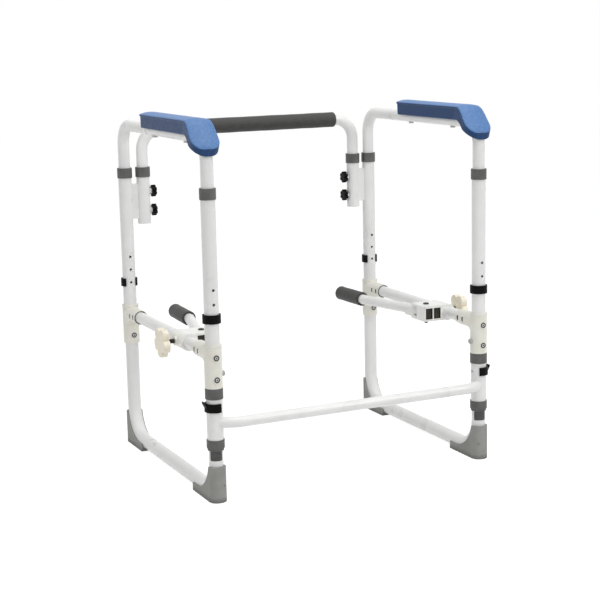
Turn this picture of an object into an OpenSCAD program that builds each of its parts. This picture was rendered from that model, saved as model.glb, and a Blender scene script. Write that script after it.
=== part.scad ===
// Free-standing safety frame with two height-adjustable arms, a padded back bar,
// a front crossbar and two swinging side clamps.
// The frame stands on z = 0 and is symmetric about x = 0. The user sits facing -Y.
// The right-hand side is modelled and the left-hand side is its mirror image.

/* [Frame] */
// Distance between the left and right legs, axis to axis
leg_spacing_x = 530; // [500:1:580]
// Distance between the front and rear legs, axis to axis
leg_spacing_y = 427; // [400:1:470]
// Height of the floor runner's axis
runner_height = 15.5; // [14.5:0.1:20]
// Height of the side rail's axis
rail_height = 260; // [245:1:280]
// Height of the front crossbar's axis
crossbar_height = 141; // [132:1:150]
// Height of the uprights' open top ends
upright_top = 541; // [510:1:560]
// Height of the arm tube's axis above the uprights' open ends
arm_height = 86; // [70:1:120]
// Height of the back bar's axis above the uprights' open ends
back_height = 74; // [60:1:110]
// How far the crossbar bows out in front of the legs
crossbar_bow = 20; // [14:1:28]

/* [Tubes] */
// Outer diameter of the uprights, floor tubes and back sockets
outer_d = 25.4; // [24:0.1:27]
// Wall of every steel tube
tube_wall = 1.2; // [1:0.1:1.5]
// Radial gap between telescoping tubes
telescope_gap = 0.4; // [0.3:0.05:0.6]
// Outer diameter of the crossbar and the swing arms
bar_d = 19.1; // [17:0.1:20]
// Bend radius of the floor runner
runner_bend_r = 60; // [48:1:66]
// Bend radius of the arm tube
arm_bend_r = 40; // [34:1:48]
// Bend radius of the back bar
back_bend_r = 40; // [30:1:48]
// Bend radius at each end of the crossbar
crossbar_bend_r = 60; // [50:1:90]

/* [Fits] */
// Radial gap of a pushed-on or glued piece
push_fit = 0.05; // [0.03:0.01:0.1]
// Radial gap of a piece that slides
slide_fit = 0.3; // [0.25:0.05:0.4]
// Radial gap of a screw or pin that turns
turn_fit = 0.05; // [0.03:0.01:0.08]

/* [Height holes] */
// Diameter of the height holes
hole_d = 5; // [4:0.5:6]
// Spacing of the height holes
hole_pitch = 25; // [20:1:30]
// Number of height holes in an upright
hole_count = 3; // [1:1:4]
// Height of the lowest hole above the tee
hole_above_tee = 45; // [35:1:60]

/* [Feet] */
// Length of a boot along the runner
boot_len = 94; // [80:1:110]
// Height of a boot on the leg
boot_height = 63; // [50:1:75]
// Width of a boot
boot_w = 31; // [30:0.5:36]
// Rubber in front of the leg
boot_wall = 3.6; // [3:0.1:5]
// How far a boot's hollow stays short of the tube's middle
boot_open = 1; // [0.6:0.1:2]
// Height of the moulding dimple on a boot's front
dimple_z = 30; // [24:1:40]
// Angle of the dimple from straight ahead, towards the inner side
dimple_turn = 32; // [0:1:60]
// Diameter of the moulding dimple
dimple_d = 4; // [3:0.5:6]
// Depth of the tread grooves
tread_depth = 1; // [0.5:0.1:1.5]
// Width of the tread grooves
tread_w = 3; // [2:0.5:5]
// Spacing of the tread grooves
tread_pitch = 11; // [8:1:16]

/* [Tees] */
// Height of a tee on the leg
tee_h = 75; // [68:1:90]
// Tee body above the rail's axis
tee_above_rail = 17; // [16:0.5:22]
// Wall of a tee
tee_wall = 2.8; // [2.4:0.1:4]
// Length of the rail socket from the leg's axis
tee_arm_len = 60; // [56:1:70]
// Radius of the sweep under the rail socket
tee_sweep_r = 20; // [14:1:26]
// Taper of the rail socket over its length
tee_arm_taper = 2; // [0:0.5:2.5]
// How deep the rail and its bush sit in the socket
rail_seat = 32; // [28:1:34]
// Rim at the mouths of a tee
tee_rim = 0.6; // [0.3:0.1:1]
// Height of the stop ring between lower leg and upright, above the tee's bottom
tee_stop = 36; // [32:1:40]
// Thickness of the stop ring
tee_stop_t = 2; // [1.5:0.5:3]
// Width of the moulded slots in the rail socket
slot_w = 5; // [4:0.5:6]
// Height of the moulded slots
slot_h = 9; // [6:0.5:10]
// First slot from the leg's axis
slot_first = 35; // [33:1:37]
// Distance between the slots
slot_gap = 17; // [14:1:18]
// Diameter of a tee screw's head
screw_head_d = 10; // [9:0.5:12]
// Thickness of a tee screw's head
screw_head_h = 1.5; // [1:0.1:2]
// Diameter of a tee screw's shank
screw_d = 5; // [4:0.5:6]
// Lower tee screw above the tee's bottom
screw_low = 16; // [12:1:20]
// Upper tee screw above the tee's bottom
screw_high = 54; // [48:1:58]
// Height of the cap nut above the tee's bottom
cap_nut_high = 23; // [20:1:26]
// Diameter of the cap nut
cap_nut_d = 10; // [8:0.5:11]

/* [Collars and clips] */
// Wall of an upright's collar
collar_wall = 1.55; // [1.2:0.05:2.5]
// Height of an upright's collar
collar_h = 19; // [15:1:24]
// Thickness of a collar's lip
collar_lip = 2.4; // [2:0.1:4]
// Wall of a height clip
clip_wall = 3.2; // [2:0.1:4]
// Height of a height clip
clip_h = 15; // [12:1:18]
// Angle of a clip's open side
clip_open = 100; // [90:5:140]
// Angle of a sleeve clip's open side
sleeve_clip_open = 140; // [120:5:150]
// How far the finger tab of a sleeve clip stands out
clip_tab = 4.5; // [3.5:0.5:7]
// How far the finger tab rises above the clip
clip_tab_rise = 2.5; // [1.5:0.5:4]
// Length of a crossbar sleeve
sleeve_len = 96; // [92:1:104]
// Wall of a sleeve's collar
sleeve_collar_wall = 1.4; // [1.2:0.1:2.5]
// Height of a sleeve's collar on the sleeve
sleeve_collar_h = 12; // [10:1:14]
// Solid end of a sleeve's collar on the leg
sleeve_collar_end = 7; // [5:0.5:8]
// Sleeve clip below the sleeve's top
sleeve_clip_drop = 27; // [25:1:30]

/* [Arm pads] */
// Rear end of the pad
pad_rear = 50; // [40:1:60]
// Front edge of the nose's face in front of the leg's axis
pad_tip = 13; // [12:0.5:20]
// Width of the pad along the arm
pad_w = 44; // [40:1:48]
// Width of the pad at its nose
pad_nose_w = 52; // [46:1:56]
// Pad surface above the arm tube's axis
pad_rise = 31; // [27:1:36]
// Lower edge of the pad above the arm tube's axis
pad_skirt = 3; // [2:0.5:6]
// Knee of the pad's top behind the leg's axis
knee_back = 28; // [24:1:34]
// Knee of the pad's lower edge behind the leg's axis
skirt_back = 32; // [28:1:38]
// Slope of the nose's face
nose_slope = 48; // [44:1:52]
// Lower edge of the nose below the arm tube's axis
nose_drop = 29; // [25:1:32]
// Corner radius of the nose's face
nose_round = 20; // [14:1:22]
// Width over which the top line bends at its knee
knee_blend = 13; // [8:1:20]
// Width over which the lower edge bends
skirt_blend = 14; // [8:1:20]
// Crown of the pad's top
pad_crown = 3; // [2:0.5:4]
// Rounding of the pad's upper edges
pad_edge = 3; // [2:0.5:4]
// Thickness of the pad's cap at its edge
pad_cap = 6; // [5.5:0.5:8]
// How far the cap stands out over the pad's sides
cap_out = 1.8; // [1:0.1:2.5]
// Diameter of a pad screw
pad_screw_d = 5; // [4:0.5:6]
// Diameter of a pad screw's head
pad_screw_head_d = 10; // [8:0.5:12]
// Rear pad screw ahead of the pad's rear end
pad_screw_rear = 18; // [14:1:26]
// Distance between the pad screws
pad_screw_gap = 156; // [130:1:170]

/* [Back bar] */
// Distance from an upright's axis to its back socket's axis
socket_offset = 36.5; // [34:0.5:42]
// Length of a back socket
socket_len = 107; // [98:1:120]
// Height of the web that joins socket and upright
web_h = 67; // [50:1:80]
// Thickness of the web
web_t = 8; // [5:1:14]
// Length of the foam on the back bar
back_foam_len = 372; // [320:1:376]
// Thickness of the foam on the back bar
back_foam_t = 4; // [3.5:0.1:6]
// Upper star knob below the socket's top
knob_drop = 45; // [40:1:50]
// Distance between the star knobs
knob_gap = 37; // [30:1:42]
// Diameter of a star knob
star_d = 23; // [20:1:25]
// Thickness of a star knob
star_t = 8.5; // [7:0.5:12]
// Thread diameter of a star knob's screw
star_screw_d = 6; // [5:0.5:7]
// Thickness of the welded nut on a socket
weld_nut_t = 3; // [2.5:0.5:5]

/* [Side clamps] */
// Position of a clamp block along its rail
block_y = -78; // [-85:1:-70]
// Length of a clamp block along the rail
block_len = 52; // [48:1:54]
// Height of a clamp block
block_h = 29; // [28:0.5:32]
// Wall of a clamp block
block_wall = 2.5; // [2.2:0.1:3]
// Distance from the rail's axis to the swing arm's pivot
pivot_offset = 33; // [33:0.5:36]
// Diameter of the pivot bolt
pivot_d = 6; // [5:0.5:7]
// Depth of the moulded pockets in a block's front
pocket_depth = 8; // [4:0.5:9]
// Length of the swing arm from its pivot to its bend
swing_len = 178; // [150:1:190]
// Length of the swing arm in front of its pivot
swing_heel = 11; // [9:0.5:11]
// Swing arm's angle inwards from the rail
swing_angle = 14.5; // [12:0.5:17]
// Angle of the swing arm's bend, which turns the roller back along the rail
swing_bend = 11.5; // [6:0.5:14]
// Swelling of the tube at the swing arm's bend
bend_swell = 0.3; // [0.2:0.1:0.5]
// Greatest angle inwards that the block leaves room for
swing_most = 30; // [26:1:32]
// Length of the foam roller
roller_len = 88; // [70:1:100]
// Distance from the swing arm's bend to the roller
roller_back = 4; // [3:0.5:8]
// Thickness of the foam roller
roller_t = 4.4; // [3.5:0.1:5]
// Length of the tongue under the swing arm
tongue_len = 47; // [30:1:60]
// Diameter of a clamp knob
clamp_knob_d = 55; // [48:1:60]
// Thickness of a clamp knob
clamp_knob_t = 12; // [10:0.5:14]
// Length of a clamp knob's hub
clamp_hub_h = 4; // [3:0.5:6]
// Thread diameter of a clamp knob's stud
stud_d = 8; // [6:0.5:9]
// Length of the boss round the stud
boss_len = 3; // [2:0.5:6]
// Bare stud between the block and the knob
stud_bare = 12; // [6:1:14]

/* [Hidden] */
$fn = 48;
eps = 0.01;
over = 1;
side_x = leg_spacing_x / 2;
half_y = leg_spacing_y / 2;
inner_d = outer_d - 2 * tube_wall - 2 * telescope_gap;
sleeve_d = outer_d + 2 * tube_wall + 2 * telescope_gap;
tee_top = rail_height + tee_above_rail;
tee_bottom = tee_top - tee_h;
leg_top = tee_bottom + tee_stop;
upright_foot = leg_top + tee_stop_t;
bore_d = outer_d + 2 * push_fit;
tee_d = bore_d + 2 * tee_wall;
tee_arm_d = tee_d - 1;
hole_z = tee_top + hole_above_tee;
arm_foot = hole_z - 4 * hole_d;
sleeve_top = tee_bottom - sleeve_collar_end;
sleeve_bottom = sleeve_top - sleeve_len;
sleeve_clip_z = sleeve_top - sleeve_clip_drop;
collar_top = upright_top + collar_lip;
arm_z = upright_top + arm_height;
back_z = upright_top + back_height;
socket_x = side_x - socket_offset;
socket_bottom = upright_top - socket_len;
web_z = socket_bottom + socket_len / 10;
boot_front = outer_d / 2 + boot_wall;
swing_gap = bar_d + 2 * slide_fit;
screw_seat = tee_d / 2 + 0.3;
front_reach = half_y + max(pad_tip, crossbar_bow + bar_d / 2);
rear_reach = half_y + tee_d / 2 + tee_rim;
mid_y = (front_reach - rear_reach) / 2;
star_z = [upright_top - knob_drop, upright_top - knob_drop - knob_gap];
pad_screw_y = [pad_rear - pad_screw_rear, pad_rear - pad_screw_rear - pad_screw_gap];
front_screw_z = [tee_bottom + screw_low, tee_bottom + screw_high];
rear_screw_z = [tee_bottom + screw_low];
cavity_in = pivot_offset + bar_d / 2 / cos(swing_most) + block_wall * 2 * tan(swing_most) + 1.5;
cavity_out = pivot_offset - swing_heel - 5;
cavity_front = swing_heel + 5;
block_in = cavity_in + block_wall;
hood_d = inner_d + 2 * slide_fit + 4 * block_wall - 0.8;
boss_x = hood_d / 2 + boss_len;
knob_x = boss_x + stud_bare;

// Helper shapes

// A rod along Y
module rod_y(d, y0, y1) {
    translate([0, y0, 0]) rotate([-90, 0, 0]) cylinder(d = d, h = y1 - y0);
}

// A rod along X
module rod_x(d, x0, x1) {
    translate([x0, 0, 0]) rotate([0, 90, 0]) cylinder(d = d, h = x1 - x0);
}

// A straight round tube along Z
module tube_z(d, wall, z0, z1) {
    translate([0, 0, z0]) difference() {
        cylinder(d = d, h = z1 - z0);
        translate([0, 0, -over]) cylinder(d = d - 2 * wall, h = z1 - z0 + 2 * over);
    }
}

// A bent rod in the YZ plane: a base along Y at z = 0 and two legs up to z = reach
module u_rod(d, half, reach, r) {
    rod_y(d, -(half - r), half - r);
    for (s = [0, 1]) mirror([0, s, 0]) {
        translate([0, half, r]) cylinder(d = d, h = reach - r);
        translate([0, half - r, r]) rotate([90, 0, 90]) rotate([0, 0, -90])
            rotate_extrude(angle = 90) translate([r, 0]) circle(d = d);
    }
}

// A bent tube with the form of u_rod and open ends
module u_tube(d, wall, half, reach, r) {
    difference() {
        u_rod(d, half, reach, r);
        u_rod(d - 2 * wall, half, reach + over, r);
    }
}

// Outline of a disc with rounded edges, for turning about Z
function disc_outline(r, h, e, n = 4) = concat(
    [[0, 0]],
    [for (i = [0:n]) let (a = 90 * i / n) [r - e + e * sin(a), e - e * cos(a)]],
    [for (i = [0:n]) let (a = 90 * i / n) [r - e + e * cos(a), h - e + e * sin(a)]],
    [[0, h]]);

// A disc with rounded edges
module soft_disc(d, h, e) {
    rotate_extrude() polygon(disc_outline(d / 2, h, e));
}

// A hand knob: lobes round a core, with rounded faces, along +Z from z = 0
module lobed_knob(d, t, lobes, lobe_d, e) {
    intersection() {
        translate([0, 0, -over]) {
            cylinder(d = d - lobe_d, h = t + 2 * over);
            for (i = [0:lobes - 1]) rotate([0, 0, 360 * i / lobes])
                translate([(d - lobe_d) / 2, 0, 0]) cylinder(d = lobe_d, h = t + 2 * over);
        }
        soft_disc(d + e / 2, t, e);
    }
}

// A spring clip round a tube, open towards +X, with rounded lips and a peg at the back
module spring_clip(tube_d, wall, h, open) {
    r = tube_d / 2 + push_fit;
    rotate([0, 0, open / 2]) rotate_extrude(angle = 360 - open)
        translate([r, -h / 2]) square([wall, h]);
    for (s = [-1, 1]) rotate([0, 0, s * open / 2]) translate([r + wall / 2, 0, -h / 2])
        cylinder(d = wall, h = h);
    rod_x(hole_d - 2 * push_fit, -r - wall / 2, -r + tube_wall);
}

// A stack of closed rings joined into one skin, with flat ends
module skin(rings) {
    n = len(rings[0]);
    m = len(rings);
    points = [for (ring = rings) for (p = ring) p];
    sides = [for (i = [0:m - 2]) for (j = [0:n - 1]) let (k = (j + 1) % n)
        each [[i * n + j, (i + 1) * n + k, i * n + k], [i * n + j, (i + 1) * n + j, (i + 1) * n + k]]];
    first = [for (j = [1:n - 2]) [0, j, j + 1]];
    last = [for (j = [1:n - 2]) [(m - 1) * n, (m - 1) * n + j + 1, (m - 1) * n + j]];
    polyhedron(points = points, faces = concat(sides, first, last));
}

// Puts a right-hand piece on the right or, mirrored, on the left,
// with the origin under the middle of the whole frame
module on_side(name) {
    translate([0, mid_y, 0]) mirror([name == "left" ? 1 : 0, 0, 0]) children();
}

// Floor frame

// Floor tube bent into a U: runner and two lower legs
module lower_frame() {
    color("whitesmoke") difference() {
        translate([side_x, 0, runner_height])
            u_tube(outer_d, tube_wall, half_y, leg_top - runner_height, runner_bend_r);
        translate([side_x, -half_y, sleeve_clip_z]) rod_x(hole_d, -outer_d, outer_d);
    }
}

// Side outline of a boot: sole, front wall and a hollow that follows the tube's bend
function boot_outline(n = 12) = let (
    r = runner_bend_r + boot_open,
    centre_z = runner_height + runner_bend_r,
    most = min(90, acos((centre_z - boot_height) / r)))
    concat(
        [[-boot_front, 0], [boot_len - boot_front, 0]],
        [[boot_len - boot_front, runner_height - boot_open]],
        [for (i = [0:n]) let (a = most * i / n) [runner_bend_r - r * sin(a), centre_z - r * cos(a)]],
        [[-boot_front, boot_height]]);

// Plan of a boot: flat sides and a front that is round about the leg
function boot_plan(n = 16) = let (w = boot_w / 2, most = asin(min(1, w / boot_front)))
    concat(
        [[w, boot_len - boot_front], [-w, boot_len - boot_front]],
        [for (i = [0:n]) let (a = most * (2 * i / n - 1)) [boot_front * sin(a), -boot_front * cos(a)]]);

// Rubber boot under a bend: an open channel with a treaded sole
module boot() {
    color("dimgray") translate([side_x, -half_y, 0]) difference() {
        intersection() {
            rotate([90, 0, 90]) linear_extrude(height = 2 * boot_w, center = true) polygon(boot_outline());
            translate([0, 0, -over]) linear_extrude(height = boot_height + 2 * over) polygon(boot_plan());
        }
        translate([0, half_y, runner_height]) u_rod(bore_d, half_y, leg_top - runner_height, runner_bend_r);
        translate([0, 0, dimple_z]) rotate([0, 0, -dimple_turn])
            rod_y(dimple_d, -boot_front - over, -boot_front + boot_wall / 2);
        for (y = [tread_pitch - boot_front : tread_pitch : boot_len - boot_front - tread_w])
            translate([-boot_w, y - tread_w / 2, -over]) cube([2 * boot_w, tread_w, over + tread_depth]);
    }
}

module front_boot() {
    boot();
}

module rear_boot() {
    mirror([0, 1, 0]) boot();
}

// Moulded tees and side rail

// Moulded tee with its rail socket along +Y and its screws on the side turned by the given angle
module tee_body(screw_z, screw_turn) {
    sweep_d = tee_arm_d - 1.5 * tee_wall;
    sweep = tee_sweep_r + sweep_d / 2;
    difference() {
        union() {
            translate([0, 0, tee_bottom]) cylinder(d = tee_d, h = tee_h);
            translate([0, 0, tee_top - tee_wall]) cylinder(d = tee_d + 2 * tee_rim, h = tee_wall);
            translate([0, 0, rail_height]) rotate([-90, 0, 0])
                cylinder(d1 = tee_arm_d, d2 = tee_arm_d - tee_arm_taper, h = tee_arm_len);
            translate([0, sweep, rail_height - sweep]) rotate([90, 0, 90]) rotate([0, 0, 90])
                rotate_extrude(angle = 90) translate([sweep, 0]) circle(d = sweep_d);
            for (z = screw_z) translate([0, 0, z]) rotate([0, 0, screw_turn])
                rod_y(screw_head_d + 1, -screw_seat, -outer_d / 2 - over);
        }
        translate([0, 0, upright_foot]) cylinder(d = bore_d, h = tee_h);
        translate([0, 0, tee_bottom - over]) cylinder(d = bore_d, h = tee_stop + over);
        translate([0, 0, tee_bottom - over]) cylinder(d = outer_d - 2 * tube_wall, h = tee_h);
        translate([0, 0, rail_height]) rod_y(bore_d, tee_arm_len - rail_seat, tee_arm_len + over);
        for (i = [0, 1]) translate([-tee_d, slot_first - slot_w / 2 + i * slot_gap, rail_height - slot_h / 2])
            cube([2 * tee_d, slot_w, slot_h]);
        for (z = screw_z) translate([0, 0, z]) rotate([0, 0, screw_turn])
            rod_y(screw_d + 2 * push_fit, -tee_d, -outer_d / 2);
    }
}

module front_tee() {
    color("antiquewhite") translate([side_x, -half_y, 0]) tee_body(front_screw_z, 0);
}

module rear_tee() {
    color("antiquewhite") translate([side_x, half_y, 0]) mirror([0, 1, 0]) tee_body(rear_screw_z, 180);
}

// Ringed screw in a tee's wall with a domed middle, head towards -Y
module tee_screw() {
    ring_h = screw_head_h * 0.5;
    translate([0, -screw_seat, 0]) rotate([90, 0, 0]) {
        difference() {
            soft_disc(screw_head_d, screw_head_h, 0.4);
            translate([0, 0, ring_h]) cylinder(d = screw_head_d * 0.72, h = screw_head_h);
        }
        translate([0, 0, ring_h - eps]) soft_disc(screw_head_d * 0.5, screw_head_h - ring_h, 0.3);
    }
    rod_y(screw_d, -screw_seat - eps, -outer_d / 2 - 2 * push_fit);
}

// All screws of one side's two tees, and the cap nut on the inner side of the front tee
module tee_screws() {
    seat = tee_d / 2 - 0.8;
    color("silver") {
        for (z = front_screw_z) translate([side_x, -half_y, z]) tee_screw();
        for (z = rear_screw_z) translate([side_x, half_y, z]) tee_screw();
        translate([side_x - seat, -half_y, tee_bottom + cap_nut_high]) rotate([0, -90, 0]) difference() {
            soft_disc(cap_nut_d, cap_nut_d / 2 + 0.8, cap_nut_d / 4);
            translate([0, 0, -seat]) rod_x(tee_d + 2 * push_fit, -cap_nut_d, cap_nut_d);
        }
    }
}

rail_half = half_y - tee_arm_len + rail_seat - push_fit;

// Straight rail between the two tees of one side
module side_rail() {
    color("whitesmoke") translate([side_x, 0, rail_height]) difference() {
        rod_y(inner_d, -rail_half, rail_half);
        rod_y(inner_d - 2 * tube_wall, -rail_half - over, rail_half + over);
    }
}

// Dark bushes that fill the tees' sockets round the thinner rail
module rail_bushes() {
    color("black") translate([side_x, 0, rail_height]) for (s = [0, 1]) mirror([0, s, 0]) difference() {
        rod_y(outer_d, rail_half - rail_seat + 2 * push_fit, rail_half);
        rod_y(inner_d + 2 * push_fit, 0, rail_half + over);
    }
}

// Uprights

// Wide upright with its row of height holes through front and back
module upright() {
    difference() {
        tube_z(outer_d, tube_wall, upright_foot, upright_top);
        for (i = [0:hole_count - 1]) translate([0, 0, hole_z + i * hole_pitch])
            rod_y(hole_d, -outer_d, outer_d);
    }
}

module front_upright() {
    color("whitesmoke") translate([side_x, -half_y, 0]) upright();
}

module rear_upright() {
    color("whitesmoke") translate([side_x, half_y, 0]) upright();
}

// Plastic collar on the open end of a wide tube, with a lip that guides the inner tube
module collar() {
    translate([0, 0, collar_top - collar_h]) difference() {
        cylinder(d = bore_d + 2 * collar_wall, h = collar_h);
        translate([0, 0, -over]) cylinder(d = bore_d, h = collar_h - collar_lip + over);
        cylinder(d = inner_d + 2 * slide_fit, h = collar_h + over);
    }
}

// Collars of one side: two uprights and one back socket
module collars() {
    color("dimgray") {
        for (s = [-1, 1]) translate([side_x, s * half_y, 0]) collar();
        translate([socket_x, half_y, 0]) collar();
    }
}

// Spring clips that lock the arm height: the front one opens backwards, the rear one forwards
module height_clips() {
    color("black") for (s = [-1, 1]) translate([side_x, s * half_y, hole_z])
        rotate([0, 0, -s * 90]) spring_clip(outer_d, clip_wall, clip_h, clip_open);
}

// Front crossbar

// A straight bar along X with both ends bent towards +Y
module bar(d, half, r, turn) {
    rod_x(d, -half, half);
    for (s = [0, 1]) mirror([s, 0, 0]) translate([half, r, 0]) rotate([0, 0, -90])
        rotate_extrude(angle = turn) translate([r, 0]) circle(d = d);
}

// Bowed crossbar with both ends bent back and cut to fit against the sleeves
module front_crossbar() {
    r = crossbar_bend_r;
    turn = acos(1 - crossbar_bow / r);
    straight = floor(100 * (side_x - r * sin(turn))) / 100;
    color("whitesmoke") translate([0, -half_y - crossbar_bow, crossbar_height]) difference() {
        bar(bar_d, straight, r, turn);
        bar(bar_d - 2 * tube_wall, straight, r, turn);
        for (s = [-1, 1]) translate([s * side_x, crossbar_bow, -outer_d])
            cylinder(d = sleeve_d + 2 * push_fit, h = 2 * outer_d);
    }
}

// Sleeve on the front leg that carries one end of the crossbar
module crossbar_sleeve() {
    color("whitesmoke") translate([side_x, -half_y, 0]) difference() {
        tube_z(sleeve_d, tube_wall, sleeve_bottom, sleeve_top);
        translate([0, 0, sleeve_clip_z]) rod_x(hole_d, -sleeve_d, sleeve_d);
    }
}

// Plastic collar that closes an end of a sleeve onto the leg, drawn up from its open end
module sleeve_collar() {
    d = sleeve_d + 2 * push_fit;
    difference() {
        cylinder(d = d + 2 * sleeve_collar_wall, h = sleeve_collar_h + sleeve_collar_end);
        translate([0, 0, -over]) cylinder(d = d, h = sleeve_collar_h + over);
        cylinder(d = bore_d, h = sleeve_collar_h + sleeve_collar_end + over);
    }
}

module sleeve_top_collar() {
    color("dimgray") translate([side_x, -half_y, sleeve_top - sleeve_collar_h]) sleeve_collar();
}

// The lower collar has a narrower end on the leg
module sleeve_bottom_collar() {
    step_h = sleeve_collar_end * 0.6;
    color("dimgray") translate([side_x, -half_y, sleeve_bottom + sleeve_collar_h]) mirror([0, 0, 1])
        difference() {
            sleeve_collar();
            translate([0, 0, sleeve_collar_h + sleeve_collar_end - step_h]) difference() {
                cylinder(d = 2 * sleeve_d, h = sleeve_collar_end);
                translate([0, 0, -over]) cylinder(d = sleeve_d, h = sleeve_collar_end + 2 * over);
            }
        }
}

// Spring clip on a sleeve, pushed on from the outer side, with a wedge to put a finger under
module sleeve_clip() {
    lip = clip_wall / 2;
    top = clip_h / 2 + clip_tab_rise;
    color("black") translate([side_x, -half_y, sleeve_clip_z]) rotate([0, 0, 180]) {
        spring_clip(sleeve_d, clip_wall, clip_h, sleeve_clip_open);
        translate([-sleeve_d / 2 - lip, 0, 0]) rotate([90, 0, 0]) {
            linear_extrude(height = clip_h, center = true)
                polygon([[0, -lip], [-clip_tab, top - 2 * lip], [lip - clip_tab, top], [0, top - lip]]);
            translate([lip - clip_tab, top - lip, -clip_h / 2]) cylinder(r = lip, h = clip_h);
        }
    }
}

// Arms

// Arm tube: an upside-down U whose legs slide in the uprights
module arm_tube() {
    color("whitesmoke") translate([side_x, 0, 0]) difference() {
        translate([0, 0, arm_z]) mirror([0, 0, 1])
            u_tube(inner_d, tube_wall, half_y, arm_z - arm_foot, arm_bend_r);
        for (s = [-1, 1]) for (i = [0:hole_count - 1])
            translate([0, s * half_y, hole_z + i * hole_pitch]) rod_y(hole_d, -outer_d, outer_d);
        for (y = pad_screw_y) translate([0, y, arm_z - outer_d])
            cylinder(d = pad_screw_d + 2 * push_fit, h = 2 * outer_d);
    }
}

pad_front = -half_y - pad_tip;
pad_knee = -half_y + knee_back;
skirt_knee = -half_y + skirt_back;
pad_top = arm_z + pad_rise;
pad_low = arm_z + pad_skirt;
nose_low = arm_z - nose_drop;

// A smooth step from 0 to 1
function ease(t) = let (c = min(1, max(0, t))) c * c * (3 - 2 * c);

// The smaller and the larger of two values, blended over a width k
function soft_min(a, b, k) = let (h = min(1, max(0, 0.5 + 0.5 * (b - a) / k)))
    b * (1 - h) + a * h - k * h * (1 - h);
function soft_max(a, b, k) = -soft_min(-a, -b, k);

// Share of the way from the knee to the front edge
function nose_share(y) = ease((pad_knee - y) / (pad_knee - pad_front));

// Top line of the pad: level, then down the sloped face
function pad_top_at(y) = soft_min(pad_top, pad_top + (y - pad_knee) * tan(nose_slope), knee_blend);

// Lower edge of the pad: level, then down beside the arm's bend, then level under the nose
function pad_low_at(y) = soft_max(nose_low,
    soft_min(pad_low, pad_low + (y - skirt_knee) * tan(nose_slope), skirt_blend), skirt_blend);

// How far behind its top the foot of a ring lies: rings lean back at the knee, to stand across the bend
function pad_lean_at(y) = let (most = (pad_rise - pad_skirt) / 3, run = 2 * (pad_rise - pad_skirt))
    most * (ease((pad_knee + run - y) / run) - nose_share(y)) - cap_out;

// Half width of the pad: wider at the nose, with round corners at the front
function pad_half_at(y) = let (
    w = pad_w + (pad_nose_w - pad_w) * ease((pad_knee + knee_back - y) / (2 * knee_back)),
    round_y = nose_round * cos(nose_slope),
    u = min(1, max(0, (pad_front + round_y - y) / round_y)))
    w / 2 - nose_round * (1 - sqrt(1 - u * u * 0.97));

// One ring across the pad: a flat foot, sides under an overhanging cap, and a crowned top
function pad_ring(y, shrink) = let (
    lean = pad_lean_at(y),
    w = pad_half_at(y) - shrink,
    top = pad_top_at(y) - shrink,
    deep = top - pad_low_at(y + lean) - shrink,
    crown = min(pad_crown, deep / 5),
    edge = min(pad_edge, deep / 5),
    cap = max(pad_cap, crown + edge),
    wall = w - cap_out * ease((pad_rear - y) / (4 * pad_edge)) * (1 - nose_share(y)),
    half_ring = [
        [wall - edge / 2, deep], [wall, deep - edge / 2], [wall, cap + cap_out], [w, cap],
        [w, crown + edge * 0.8], [w - edge * 0.3, crown + edge * 0.25], [w - edge, crown * 0.9],
        [w * 0.65, crown * 0.42], [w * 0.35, crown * 0.12]])
    concat(
        [for (p = half_ring) [p[0], y + lean * p[1] / deep, top - p[1]]],
        [[0, y, top]],
        [for (i = [len(half_ring) - 1 : -1 : 0]) let (p = half_ring[i])
            [-p[0], y + lean * p[1] / deep, top - p[1]]]);

// Moulded pad over the arm tube and its front bend
module arm_pad() {
    rounds = 5;
    steps = 22;
    rear = [for (i = [0:rounds - 1]) let (a = 90 * i / rounds)
        [pad_rear - pad_edge * (1 - cos(a)), pad_edge * (1 - sin(a))]];
    nose_start = pad_knee + knee_back;
    level = [for (i = [0:2]) [pad_rear - pad_edge + (nose_start - pad_rear + pad_edge) * i / 3, 0]];
    nose = [for (i = [0:steps]) let (u = max(0, (i - steps) / rounds + 1))
        [nose_start + (pad_front - nose_start) * sin(90 * i / steps),
         pad_edge / 2 * (1 - sqrt(1 - u * u))]];
    color("royalblue") translate([side_x, 0, 0]) difference() {
        skin([for (s = concat(rear, level, nose)) pad_ring(s[0], s[1])]);
        translate([0, 0, arm_z]) mirror([0, 0, 1])
            u_rod(inner_d + 2 * push_fit, half_y, arm_z - arm_foot, arm_bend_r);
        for (y = pad_screw_y) translate([0, y, arm_z])
            cylinder(d = pad_screw_d + 2 * push_fit, h = inner_d / 2 + pad_rise * 0.4 + push_fit);
    }
}

// Two screws that hold the pad from under the arm tube
module pad_screws() {
    head_h = pad_screw_d * 0.6;
    color("silver") for (y = pad_screw_y) translate([side_x, y, arm_z - inner_d / 2]) {
        difference() {
            union() {
                translate([0, 0, -head_h]) soft_disc(pad_screw_head_d, head_h, 0.8);
                translate([0, 0, -eps]) cylinder(d = pad_screw_d, h = inner_d + pad_rise * 0.4);
            }
            for (a = [0, 90]) rotate([0, 0, a]) translate([-pad_screw_d / 2, -0.5, -head_h - over])
                cube([pad_screw_d, 1, over + head_h / 2]);
        }
    }
}

// Back bar

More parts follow.
